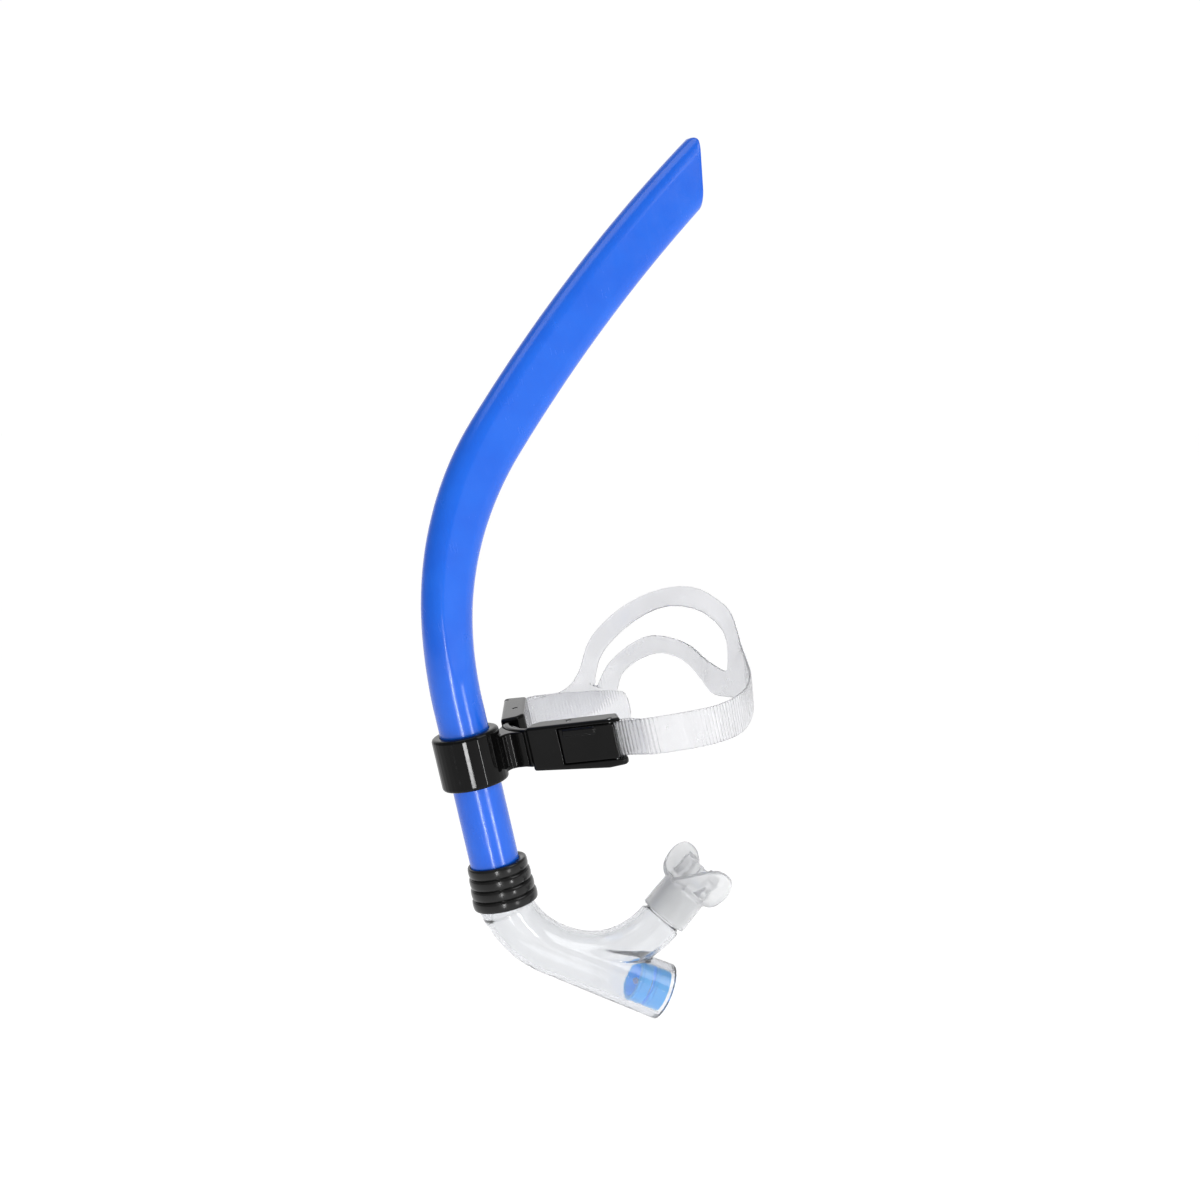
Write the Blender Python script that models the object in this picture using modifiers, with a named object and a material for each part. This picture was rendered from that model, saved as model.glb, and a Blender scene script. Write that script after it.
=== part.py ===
"""Front-mounted swim snorkel: bent tube, swivelling mouth end, forehead clamp, buckles and head strap.

The frame is the forehead's: the origin is the centre of the flat rest on the inner side of the
forehead band, +X points from the tube to the wearer's head, +Z runs up the tube's straight length,
and the wearer's left side is -Y. All lengths are metres and all angles are degrees.
"""
import math

import bmesh
import bpy
from mathutils import Matrix, Vector

COLLECTION = "swim_snorkel"
FIT_GAP = 0.0003

# Main tube: straight and round below, then bent back over the head and flattened.
TUBE_X = -0.027
TUBE_BOTTOM = -0.060
TUBE_RADIUS = 0.0120
TUBE_WALL = 0.0017
TUBE_RUNS = ((0.0857, 0.0), (0.0373, 10.4), (0.0963, 36.3), (0.184, 12.4))
TUBE_STEPS = (2, 6, 9, 8)
FLAT_START = 0.099
FLAT_FULL = 0.220
FLAT_HALF_WIDTH = 0.0144
FLAT_HALF_DEPTH = 0.0076
FLAT_HALF_FACE = 0.0068
SEAM_HALF_FACE = 0.0008
TIP_X = 0.1566
TIP_LEAN = 9.0
TIP_ROUND = 0.0020

# Ribbed coupling, a rubber sleeve over the two tube ends.
COUPLING_TOP = -0.0533
COUPLING_BOTTOM = -0.0750
COUPLING_RADII = (0.0139, 0.0152)
COUPLING_SHIFT = 0.0010
RIB_COUNT = 4
RIB_HEIGHT = 0.0010
COUPLING_BORE = TUBE_RADIUS + FIT_GAP
COUPLING_FLARE = ((0.0137, 0.0003), (0.0131, 0.0020), (0.0125, 0.0045))

# Mouth end: it turns in the coupling about the tube's axis.
MOUTH_TURN = -12.0
SPIGOT_TOP = -0.0610
SPIGOT_RADIUS = 0.0118
BEND_TOP = -0.0670
BEND_RADIUS = 0.0465
BEND_TURN = 127.0
LOWER_RADIUS = 0.0129
LOWER_WALL = 0.0020
MOUTH_RADIUS = 0.0112
NECK_RADIUS = 0.0096
NECK_LENGTH = 0.0150
PURGE_TURN = 53.0
PURGE_LENGTH = 0.0612
PURGE_RADIUS = 0.0143
PURGE_BORE = 0.0106

# Purge valve, measured along its branch from the branching point.
SEAT_SPAN = (0.0437, 0.0502)
DISC_SPAN = (0.0505, 0.0513)
CAP_SPAN = (0.0515, 0.0597)
VALVE_RADIUS = 0.0102
DISC_RADIUS = 0.0081
STEM_RADIUS = 0.0011

# Mouthpiece, measured along the neck from the sleeve's outer end.
PIECE_TURN = 5.0
SLEEVE_LENGTH = 0.0150
SLEEVE_RADIUS = 0.0122
PIECE_BORE = 0.0075
FLANGE_AT = 0.0025
FLANGE_PINCH = 0.20
FLANGE_HALF_WIDTH = 0.0280
FLANGE_HALF_HEIGHT = 0.0132
FLANGE_WRAP = 0.0195
FLANGE_THICKNESS = 0.0022

# Clamp ring and forehead band. The band and its buckles sit a little lower than the rest's centre.
BAND_LEVEL = -0.0015
RING_CENTRE = -0.0003
RING_HALF_HEIGHT = 0.0130
RING_RADIUS = 0.0165
RING_BORE = TUBE_RADIUS + FIT_GAP
BAND_FRONT = -0.0050
BAND_RADIUS = 0.0340
BAND_THICKNESS = 0.0034
BAND_HALF_HEIGHT = 0.0095
FRONT_SWEEP = 25.0
LEFT_ARM = (42.0, 0.0070)
RIGHT_ARM = (24.0, 0.0185)
TONGUE_INSET = 0.0003
TONGUE_HALF_HEIGHT = 0.0080
REST_HALF_WIDTH = 0.0080
REST_HALF_HEIGHT = 0.0075

# Buckle, in its own frame: x along the arm, y inwards from the outer face, z up.
FRAME_LENGTH = 0.0496
FRAME_SIDE = ((0, -0.0108), (0.040, -0.0130), (FRAME_LENGTH, -0.0120), (FRAME_LENGTH, 0.0108), (0, 0.0108))
FRAME_PLAN = ((0.0004, 0), (FRAME_LENGTH, 0), (FRAME_LENGTH, 0.0030), (0.0445, 0.0120), (0.0040, 0.0120),
              (0, 0.0085))
FRAME_OVERLAP = 0.0160
FRAME_PROUD = 0.0012
CHANNEL_START = 0.0170
CHANNEL_DEPTH = 0.0104
CHANNEL_HALF_HEIGHT = 0.0090
ROLLER_AT = (0.0210, 0.0068)
ROLLER_RADIUS = 0.0018
ROLLER_PIN_RADIUS = 0.0009
LEVER_PIN_AT = (0.0448, 0.0016)
LEVER_PIN_RADIUS = 0.0008
LEVER_THICKNESS = 0.0018
LEVER_HALF_HEIGHT = 0.0087
PIN_HALF_LENGTH = 0.0105

# Head strap: rails along its two edges, and along the split between its two bands.
STRAP_THICKNESS = 0.0014
STRAP_HALF_WIDTH = 0.0086
STRAP_LOOP_RADIUS = 0.0027
NEAR_TOP = (
    (0.040, -0.064, 0.008), (0.056, -0.071, 0.007), (0.075, -0.070, 0.005),
    (0.094, -0.060, 0.005), (0.107, -0.045, 0.008), (0.114, -0.030, 0.012), (0.120, -0.016, 0.017),
)
NEAR_BOTTOM = (
    (0.039, -0.064, -0.010), (0.052, -0.071, -0.011), (0.071, -0.071, -0.013),
    (0.089, -0.062, -0.014), (0.103, -0.048, -0.010), (0.109, -0.032, -0.008), (0.107, -0.018, -0.007),
)
UPPER_OUTER = (
    (0.126, 0.000, 0.031), (0.125, 0.012, 0.038), (0.121, 0.024, 0.044), (0.112, 0.038, 0.046),
    (0.098, 0.050, 0.043), (0.084, 0.058, 0.036), (0.071, 0.062, 0.026),
)
UPPER_INNER = (
    (0.117, -0.006, 0.019), (0.118, 0.004, 0.027), (0.115, 0.017, 0.034), (0.106, 0.032, 0.037),
    (0.096, 0.045, 0.033), (0.085, 0.053, 0.026), (0.074, 0.058, 0.016),
)
LOWER_INNER = (
    (0.108, 0.002, 0.011), (0.107, 0.013, 0.017), (0.104, 0.023, 0.021), (0.098, 0.034, 0.024),
    (0.093, 0.044, 0.023), (0.084, 0.052, 0.018), (0.075, 0.058, 0.010),
)
LOWER_OUTER = (
    (0.104, -0.004, -0.006), (0.105, 0.008, 0.001), (0.104, 0.020, 0.009), (0.100, 0.028, 0.013),
    (0.096, 0.036, 0.014), (0.089, 0.046, 0.011), (0.083, 0.054, 0.005),
)
SPLIT_NEAR = (0.110, -0.014, 0.005)
SPLIT_FAR = (0.068, 0.060, 0.000)
FAR_TOP = ((0.063, 0.062, 0.013), (0.056, 0.063, 0.006), (0.046, 0.0655, 0.003), (0.034, 0.0665, 0.004))
FAR_BOTTOM = ((0.080, 0.058, -0.004), (0.067, 0.0625, -0.012), (0.046, 0.0665, -0.012))
LEFT_TAIL = ((0.0410, -0.0515, -0.0025), (0.0450, -0.0535, -0.0040))
RIGHT_TAIL = ((0.033, 0.0620, -0.002), (0.043, 0.0605, -0.003), (0.056, 0.055, -0.005), (0.068, 0.049, -0.007),
              (0.079, 0.043, -0.010))


# ---------------------------------------------------------------- scene and mesh helpers

def clear_scene():
    for ob in list(bpy.data.objects):
        bpy.data.objects.remove(ob, do_unlink=True)


def make_collection(name):
    group = bpy.data.collections.new(name)
    bpy.context.scene.collection.children.link(group)
    return group


def make_material(name, colour, roughness, metallic=0.0, clear=0.0):
    mat = bpy.data.materials.new(name)
    mat.use_nodes = True
    shader = mat.node_tree.nodes["Principled BSDF"]
    shader.inputs["Base Color"].default_value = (*colour, 1.0)
    shader.inputs["Roughness"].default_value = roughness
    shader.inputs["Metallic"].default_value = metallic
    shader.inputs["Transmission Weight"].default_value = clear
    mat.diffuse_color = (*colour, 1.0)
    return mat


def mesh_of(bm, name="shape"):
    bmesh.ops.recalc_face_normals(bm, faces=bm.faces)
    mesh = bpy.data.meshes.new(name)
    bm.to_mesh(mesh)
    bm.free()
    return mesh


def baked(mesh, *modifiers):
    """The mesh after the modifiers, each given as (type, settings)."""
    ob = bpy.data.objects.new("work", mesh)
    bpy.context.scene.collection.objects.link(ob)
    for kind, settings in modifiers:
        mod = ob.modifiers.new(kind.title(), kind)
        for key, value in settings.items():
            setattr(mod, key, value)
    result = bpy.data.meshes.new_from_object(ob.evaluated_get(bpy.context.evaluated_depsgraph_get()))
    bpy.data.objects.remove(ob, do_unlink=True)
    return result


def cut(mesh, other, operation="DIFFERENCE"):
    tool = bpy.data.objects.new("tool", other)
    bpy.context.scene.collection.objects.link(tool)
    result = baked(mesh, ("BOOLEAN", {"operation": operation, "object": tool, "solver": "EXACT"}))
    bpy.data.objects.remove(tool, do_unlink=True)
    return result


def joined(*meshes):
    result = meshes[0]
    for mesh in meshes[1:]:
        result = cut(result, mesh, "UNION")
    return result


def moved(mesh, matrix):
    mesh.transform(matrix)
    return mesh


def block(low, high):
    """A box between two corners."""
    bm = bmesh.new()
    bmesh.ops.create_cube(bm, size=1.0)
    size = [h - l for l, h in zip(low, high)]
    middle = [(h + l) / 2 for l, h in zip(low, high)]
    bmesh.ops.scale(bm, vec=size, verts=bm.verts)
    bmesh.ops.translate(bm, vec=middle, verts=bm.verts)
    return mesh_of(bm)


def rod(radius, low, high, sides=24, end_radius=None):
    """A cylinder or cone about the Z axis, from low to high."""
    bm = bmesh.new()
    top = radius if end_radius is None else end_radius
    bmesh.ops.create_cone(bm, cap_ends=True, segments=sides, radius1=radius, radius2=top, depth=high - low)
    bmesh.ops.translate(bm, vec=(0, 0, (low + high) / 2), verts=bm.verts)
    return mesh_of(bm)


def turned(profile, steps=32, closed=True):
    """A profile of (radius, height) points turned about the Z axis."""
    mesh = bpy.data.meshes.new("profile")
    count = len(profile)
    edges = [(i, (i + 1) % count) for i in range(count if closed else count - 1)]
    mesh.from_pydata([(r, 0, z) for r, z in profile], edges, [])
    screw = {"steps": steps, "render_steps": steps, "use_merge_vertices": True, "merge_threshold": 0.00001}
    result = baked(mesh, ("SCREW", screw))
    return repaired(result)


def repaired(mesh):
    """The mesh with its faces turned outwards."""
    bm = bmesh.new()
    bm.from_mesh(mesh)
    bmesh.ops.remove_doubles(bm, verts=bm.verts, dist=0.000005)
    return mesh_of(bm)


def extruded(outline, low, high):
    """A flat outline of (x, y) points, extruded from low to high along Z."""
    curve = bpy.data.curves.new("outline", "CURVE")
    curve.dimensions = "2D"
    curve.fill_mode = "BOTH"
    curve.extrude = (high - low) / 2
    spline = curve.splines.new("POLY")
    spline.points.add(len(outline) - 1)
    for point, (x, y) in zip(spline.points, outline):
        point.co = (x, y, 0, 1)
    spline.use_cyclic_u = True
    mesh = from_curve(curve)
    return moved(mesh, Matrix.Translation((0, 0, (low + high) / 2)))


def swept(points, radii, resolution):
    """A round tube of varying radius along the points."""
    curve = bpy.data.curves.new("path", "CURVE")
    curve.dimensions = "3D"
    curve.bevel_depth = 1.0
    curve.bevel_resolution = resolution
    curve.use_fill_caps = True
    spline = curve.splines.new("POLY")
    spline.points.add(len(points) - 1)
    for point, place, radius in zip(spline.points, points, radii):
        point.co = (*place, 1)
        point.radius = radius
    return from_curve(curve)


def from_curve(curve):
    ob = bpy.data.objects.new("work", curve)
    bpy.context.scene.collection.objects.link(ob)
    mesh = bpy.data.meshes.new_from_object(ob.evaluated_get(bpy.context.evaluated_depsgraph_get()))
    bpy.data.objects.remove(ob, do_unlink=True)
    return repaired(mesh)


def bevelled(mesh, width, segments=2, angle=30.0):
    settings = {"width": width, "segments": segments, "limit_method": "ANGLE"}
    settings["angle_limit"] = math.radians(angle)
    return baked(mesh, ("BEVEL", settings))


def smooth_step(value):
    value = min(max(value, 0.0), 1.0)
    return value * value * (3 - 2 * value)


def arc(centre, radius, start, stop, steps):
    """Points on a circle in a plane, angles counted from its first axis."""
    angles = [math.radians(start + (stop - start) * i / steps) for i in range(steps + 1)]
    return [(centre[0] + radius * math.cos(a), centre[1] + radius * math.sin(a)) for a in angles]


def bend_path(start, heading, runs, steps):
    """Places (x, z), headings from +Z towards +X, and lengths, along runs of (length, turn)."""
    x, z = start
    travelled = 0.0
    path = [((x, z), heading, travelled)]
    for (length, turn), count in zip(runs, steps):
        for _ in range(count):
            middle = math.radians(heading + turn / count / 2)
            half = math.radians(turn / count / 2)
            chord = length / count * (math.sin(half) / half if half else 1.0)
            x += chord * math.sin(middle)
            z += chord * math.cos(middle)
            heading += turn / count
            travelled += length / count
            path.append(((x, z), heading, travelled))
    return path


def add_part(name, mesh, material, pivot=(0, 0, 0), parent=None):
    """The named sub-part, with its origin at the pivot in its parent's frame."""
    mesh = repaired(mesh)
    mesh.transform(Matrix.Translation([-v for v in pivot]))
    mesh.name = name
    mesh.materials.clear()
    mesh.materials.append(material)
    mesh.shade_smooth()
    mesh.set_sharp_from_angle(angle=math.radians(35))
    ob = bpy.data.objects.new(name, mesh)
    ob.location = pivot
    ob.parent = parent
    PARTS.objects.link(ob)
    return ob


def add_frame(name, location, rotation, parent=None):
    """An empty that carries a joint's axis or a sub-assembly's frame."""
    empty = bpy.data.objects.new(name, None)
    empty.location = location
    empty.rotation_euler = rotation
    empty.parent = parent
    PARTS.objects.link(empty)
    return empty


# ---------------------------------------------------------------- main tube

def tube_section(half_width, half_depth, half_face):
    """A section with two flat faces, joined by an arc at each end; (in plane, across) points."""
    half_depth = min(half_depth, math.sqrt(half_width ** 2 - half_face ** 2))
    centre = (half_width ** 2 - half_face ** 2 - half_depth ** 2) / (2 * (half_width - half_face))
    radius = half_width - centre
    swing = math.degrees(math.atan2(half_depth, half_face - centre))
    front = arc((centre, 0), radius, -swing, swing, 9)
    back = [(-x, -y) for x, y in front]
    faces = [half_face * (1 - 2 * i / 3) for i in (1, 2)]
    return front + [(x, half_depth) for x in faces] + back + [(-x, -half_depth) for x in faces]


def flatness(travelled):
    """The section's half width, half depth and half face at a length along the tube."""
    share = min(max((travelled - FLAT_START) / (FLAT_FULL - FLAT_START), 0.0), 1.0)
    half_width = TUBE_RADIUS + (FLAT_HALF_WIDTH - TUBE_RADIUS) * smooth_step(share)
    half_depth = TUBE_RADIUS + (FLAT_HALF_DEPTH - TUBE_RADIUS) * share ** 0.8
    half_face = max(SEAM_HALF_FACE, FLAT_HALF_FACE * math.tanh(1.8 * share ** 0.4))
    return half_width, half_depth, half_face


def tube_ring(place, heading, travelled, inset):
    """One ring of points of the tube's outer or inner skin."""
    half_width, half_depth, half_face = flatness(travelled)
    across = Vector((math.cos(math.radians(heading)), 0, -math.sin(math.radians(heading))))
    middle = Vector((place[0], 0, place[1]))
    section = tube_section(half_width - inset, half_depth - inset, half_face)
    return [middle + across * x + Vector((0, y, 0)) for x, y in section]


def lofted_pipe(outer, inner):
    """A closed pipe wall between two lists of rings."""
    bm = bmesh.new()
    skins = [[[bm.verts.new(p) for p in ring] for ring in skin] for skin in (outer, inner)]
    count = len(outer[0])
    for skin in skins:
        for low, high in zip(skin, skin[1:]):
            for i in range(count):
                j = (i + 1) % count
                bm.faces.new((low[i], low[j], high[j], high[i]))
    for end in (0, -1):
        for i in range(count):
            j = (i + 1) % count
            bm.faces.new((skins[0][end][i], skins[0][end][j], skins[1][end][j], skins[1][end][i]))
    return mesh_of(bm)


def tip_cutter(path):
    """The region behind the slanted mouth of the tube, with its two rounded corners."""
    before, after = next((a, b) for a, b in zip(path, path[1:]) if b[0][0] > TIP_X)
    share = (TIP_X - before[0][0]) / (after[0][0] - before[0][0])
    middle = Vector((TIP_X, before[0][1] + share * (after[0][1] - before[0][1])))
    heading = before[1] + share * (after[1] - before[1])
    skin, lean = math.radians(heading), math.radians(TIP_LEAN)
    edge = Vector((math.sin(lean), math.cos(lean)))
    face = Vector((math.cos(lean), -math.sin(lean)))
    rise = FLAT_HALF_WIDTH / math.sin(skin - lean)
    back = TIP_ROUND / math.tan((skin - lean) / 2)
    low_back = TIP_ROUND * math.tan((skin - lean) / 2)
    apex = arc(middle + edge * (rise - back) - face * TIP_ROUND, TIP_ROUND, -TIP_LEAN, 180 - heading, 6)
    foot = arc(middle - edge * (rise - low_back) - face * TIP_ROUND, TIP_ROUND, -heading, -TIP_LEAN, 5)
    out = Vector((-math.cos(skin), math.sin(skin))) * 0.02
    over = Vector(apex[-1]) + out
    under = Vector(foot[0]) - out
    right = TIP_X + 0.08
    outline = [tuple(under)] + foot + apex + [tuple(over), (right, over[1] + 0.02), (right, under[1] - 0.02)]
    cutter = extruded(outline, -0.02, 0.02)
    return moved(cutter, Matrix.Rotation(math.radians(90), 4, "X"))


def build_main_tube(material):
    path = bend_path((TUBE_X, TUBE_BOTTOM), 0.0, TUBE_RUNS, TUBE_STEPS)
    outer = [tube_ring(place, heading, s, 0.0) for place, heading, s in path]
    inner = [tube_ring(place, heading, s, TUBE_WALL) for place, heading, s in path]
    pipe = cut(lofted_pipe(outer, inner), tip_cutter(path))
    add_part("main_tube", pipe, material, pivot=(TUBE_X, 0, RING_CENTRE))


def build_coupling(material):
    """A sleeve, thicker at the back, with rounded ribs outside and a bore that widens at its mouth."""
    pitch = (COUPLING_TOP - COUPLING_BOTTOM) / RIB_COUNT
    outside = []
    for i in range(RIB_COUNT):
        share = i / (RIB_COUNT - 1)
        base = COUPLING_RADII[0] + (COUPLING_RADII[1] - COUPLING_RADII[0]) * share
        top = COUPLING_TOP - i * pitch
        for k in range(6):
            swing = math.pi * k / 5
            depth = 0.5 * pitch * (1 - math.cos(swing) * 0.94)
            outside.append((base + RIB_HEIGHT * math.sin(swing) ** 0.7, top - depth))
    solid = turned([(0, outside[0][1])] + outside + [(0, outside[-1][1])], closed=False)
    bore = [(0, COUPLING_BOTTOM - 0.002), (COUPLING_FLARE[0][0], COUPLING_BOTTOM - 0.002)]
    bore += [(radius, COUPLING_BOTTOM + rise) for radius, rise in COUPLING_FLARE]
    bore += [(COUPLING_BORE, BEND_TOP), (COUPLING_BORE, COUPLING_TOP + 0.002), (0, COUPLING_TOP + 0.002)]
    sleeve = cut(moved(solid, Matrix.Translation((COUPLING_SHIFT, 0, 0))), turned(bore, closed=False))
    add_part("ribbed_coupling", moved(sleeve, Matrix.Translation((TUBE_X, 0, 0))), material)


# ---------------------------------------------------------------- mouth end

def lower_path():
    """The bend from the coupling to the neck that carries the mouthpiece, in the mouth end's frame."""
    bend = math.radians(BEND_TURN) * BEND_RADIUS
    runs = ((SPIGOT_TOP - BEND_TOP, 0.0), (bend, -BEND_TURN), (NECK_LENGTH + 0.001, 0.0))
    return bend_path((0.0, SPIGOT_TOP), 180.0, runs, (1, 22, 2))


def lower_radius(heading, index, last):
    """Outer radius along the bend: spigot, full tube, mouth branch and neck."""
    if heading > 166.0:
        return SPIGOT_RADIUS
    if index >= last - 2:
        return NECK_RADIUS
    return LOWER_RADIUS + (MOUTH_RADIUS - LOWER_RADIUS) * smooth_step((130 - heading) / 45)


def purge_matrix():
    """The purge branch's frame in the mouth end's frame: Z runs out along the branch."""
    turn = math.radians(PURGE_TURN)
    place = (BEND_RADIUS * (1 - math.cos(turn)), 0, BEND_TOP - BEND_RADIUS * math.sin(turn))
    return Matrix.Translation(place) @ Matrix.Rotation(math.pi - turn, 4, "Y")


def neck_matrix():
    """The mouthpiece's frame in the mouth end's frame: Z runs out along the neck."""
    (x, z), heading, _ = lower_path()[-1]
    return Matrix.Translation((x, 0, z)) @ Matrix.Rotation(math.radians(heading), 4, "Y")


def build_lower_tube(material, parent):
    path = lower_path()
    last = len(path) - 1
    points = [(x, 0, z) for (x, z), _, _ in path]
    radii = [lower_radius(heading, i, last) for i, (_, heading, _) in enumerate(path)]
    bores = [radius - LOWER_WALL for radius in radii]
    head, tail = points[0], Vector(points[-1]) + (Vector(points[-1]) - Vector(points[-2])) * 0.5
    bore_points = [(head[0], 0, head[2] + 0.005)] + points[1:-1] + [tuple(tail)]
    branch = moved(rod(LOWER_RADIUS - 0.0001, -0.001, PURGE_LENGTH, 28, PURGE_RADIUS), purge_matrix())
    hollow = rod(LOWER_RADIUS - LOWER_WALL, 0.001, PURGE_LENGTH + 0.002, 28, PURGE_BORE)
    collar = rod(0.0112, -0.0830, COUPLING_BOTTOM - FIT_GAP, 28, LOWER_RADIUS)
    body = joined(swept(points, radii, 8), branch, collar)
    body = cut(body, swept(bore_points, bores, 8))
    body = cut(body, moved(hollow, purge_matrix()))
    add_part("lower_tube", body, material, parent=parent)


def build_purge_valve(blue, silicone, parent):
    """A spoked seat, a flap disc whose stem is held in the seat's hub, and a barred cap."""
    hub = rod(0.0030, SEAT_SPAN[0] + 0.004, SEAT_SPAN[1], 20)
    spokes = [block((-0.0093, -0.0008, SEAT_SPAN[0] + 0.0045), (0.0093, 0.0008, SEAT_SPAN[1]))]
    spokes.append(moved(spokes[0].copy(), Matrix.Rotation(math.radians(90), 4, "Z")))
    seat = joined(valve_ring(SEAT_SPAN, 0.0084), *spokes, hub)
    seat = cut(seat, rod(STEM_RADIUS + FIT_GAP, SEAT_SPAN[0], SEAT_SPAN[1] + 0.001, 16))
    add_part("purge_valve_seat", seat, blue, parent=parent)
    bars = [block((x - 0.0006, -reach, CAP_SPAN[1] - 0.0016), (x + 0.0006, reach, CAP_SPAN[1] - 0.0002))
            for x, reach in ((-0.0050, 0.0078), (0.0, 0.0093), (0.0050, 0.0078))]
    add_part("purge_cap", joined(valve_ring(CAP_SPAN, 0.0086), *bars), blue, parent=parent)
    flap = [(0, DISC_SPAN[1]), (DISC_RADIUS, DISC_SPAN[1]), (DISC_RADIUS, DISC_SPAN[0])]
    flap += [(STEM_RADIUS, DISC_SPAN[0]), (STEM_RADIUS, SEAT_SPAN[0] + 0.0028)]
    flap += [(0.0019, SEAT_SPAN[0] + 0.0019), (0.0008, SEAT_SPAN[0] + 0.0004), (0, SEAT_SPAN[0] + 0.0004)]
    add_part("purge_diaphragm", turned(flap, 32, closed=False), silicone, (0, 0, DISC_SPAN[0]), parent)


def valve_ring(span, bore):
    """A ring with a shallow groove round its outside."""
    low, high = span
    groove = VALVE_RADIUS - 0.0005
    outside = [(VALVE_RADIUS, high), (VALVE_RADIUS, low + 0.0022), (groove, low + 0.0018)]
    outside += [(groove, low + 0.0012), (VALVE_RADIUS, low + 0.0008), (VALVE_RADIUS, low)]
    return turned(outside + [(bore, low), (bore, high)], 32)


def flange_outline(angle):
    """The lip flange's reach at an angle, pinched at the top and bottom of the middle."""
    c, s = abs(math.cos(angle)), abs(math.sin(angle))
    reach = ((c / FLANGE_HALF_WIDTH) ** 2.6 + (s / FLANGE_HALF_HEIGHT) ** 2.6) ** (-1 / 2.6)
    return reach * (1 - FLANGE_PINCH * s ** 10)


def lip_flange():
    """The thin shield behind the lips, wrapped round the teeth."""
    bm = bmesh.new()
    centre = bm.verts.new((0, 0, 0))
    rings = []
    for level in (0.3, 0.55, 0.8, 1.0):
        ring = []
        for i in range(40):
            angle = 2 * math.pi * i / 40
            reach = flange_outline(angle) * level
            y, x = reach * math.cos(angle), reach * math.sin(angle)
            ring.append(bm.verts.new((x, y, FLANGE_WRAP * (abs(y) / FLANGE_HALF_WIDTH) ** 2.2)))
        rings.append(ring)
    for i in range(40):
        j = (i + 1) % 40
        bm.faces.new((centre, rings[0][i], rings[0][j]))
        for low, high in zip(rings, rings[1:]):
            bm.faces.new((low[i], high[i], high[j], low[j]))
    return baked(mesh_of(bm), ("SOLIDIFY", {"thickness": FLANGE_THICKNESS, "offset": 0.0}))


def bite_tab(side):
    """A bite plate with an upright lug at its inner edge."""
    plate = block((-0.0017, 0.0115, FLANGE_AT + 0.0015), (0.0017, 0.0205, FLANGE_AT + 0.0160))
    lug = block((-0.0060, 0.0100, FLANGE_AT - 0.0010), (0.0060, 0.0124, FLANGE_AT + 0.0142))
    tab = bevelled(joined(plate, lug), 0.0007, 1, 60)
    if side < 0:
        tab.transform(Matrix.Scale(-1, 4, (0, 1, 0)))
    return repaired(tab)


def build_mouthpiece(material, parent):
    sleeve = rod(SLEEVE_RADIUS, -SLEEVE_LENGTH, FLANGE_AT + 0.0008, 32)
    body = joined(bevelled(sleeve, 0.0008, 2), moved(lip_flange(), Matrix.Translation((0, 0, FLANGE_AT))))
    body = joined(body, bite_tab(1), bite_tab(-1))
    body = cut(body, rod(NECK_RADIUS + FIT_GAP, -SLEEVE_LENGTH - 0.001, 0.0004, 32))
    body = cut(body, rod(PIECE_BORE, -0.001, 0.024, 28))
    add_part("mouthpiece", body, material, parent=parent)


# ---------------------------------------------------------------- forehead clamp and band

def build_clamp(material):
    """The ring round the tube, with a waisted neck and a tenon that enters the band."""
    low, high = RING_CENTRE - RING_HALF_HEIGHT, RING_CENTRE + RING_HALF_HEIGHT
    ring = bevelled(rod(RING_RADIUS, low, high, 40), 0.0014, 2)
    root, waist, face = 0.0110, 0.0072, BAND_FRONT - TUBE_X + 0.004
    half = [(0.006, root), (0.0115, root), (0.0148, 0.0084), (0.0175, waist), (0.0198, 0.0080),
            (0.0218, 0.0104), (face, 0.0150)]
    outline = half + [(x, -y) for x, y in reversed(half)]
    neck = bevelled(extruded(outline, BAND_LEVEL - 0.0088, BAND_LEVEL + 0.0088), 0.0010, 2, 60)
    reach = BAND_RADIUS + FIT_GAP
    hollow = rod(reach, -0.02, 0.02, 72)
    neck = cut(neck, moved(hollow, Matrix.Translation((BAND_FRONT - TUBE_X + BAND_RADIUS, 0, 0))))
    tenon_end = (BAND_FRONT - TUBE_X + 0.0022, 0.0047, BAND_LEVEL + 0.0057)
    tenon = block((0.018, -0.0047, BAND_LEVEL - 0.0057), tenon_end)
    body = joined(ring, neck, tenon)
    body = cut(body, rod(RING_BORE, low - 0.001, high + 0.001, 40))
    add_part("tube_clamp", moved(body, Matrix.Translation((TUBE_X, 0, 0))), material)


def band_outline(left, right, inset):
    """The band's plan: an arc to each side of the front, each arm given as (sweep, straight length)."""
    centre = (BAND_FRONT + BAND_RADIUS, 0)
    outer = arc(centre, BAND_RADIUS - inset, 180 - right[0], 180 + left[0], 22)
    inner = arc(centre, BAND_RADIUS - BAND_THICKNESS + inset, 180 + left[0], 180 - right[0], 22)
    if left[1] == 0.0:
        return outer + inner
    left_end = Vector((math.sin(math.radians(left[0])), -math.cos(math.radians(left[0])))) * left[1]
    right_end = Vector((math.sin(math.radians(right[0])), math.cos(math.radians(right[0])))) * right[1]
    left_tips = [tuple(Vector(p) + left_end) for p in (outer[-1], inner[0])]
    right_tips = [tuple(Vector(p) + right_end) for p in (inner[-1], outer[0])]
    return outer + left_tips + inner + right_tips


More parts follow.
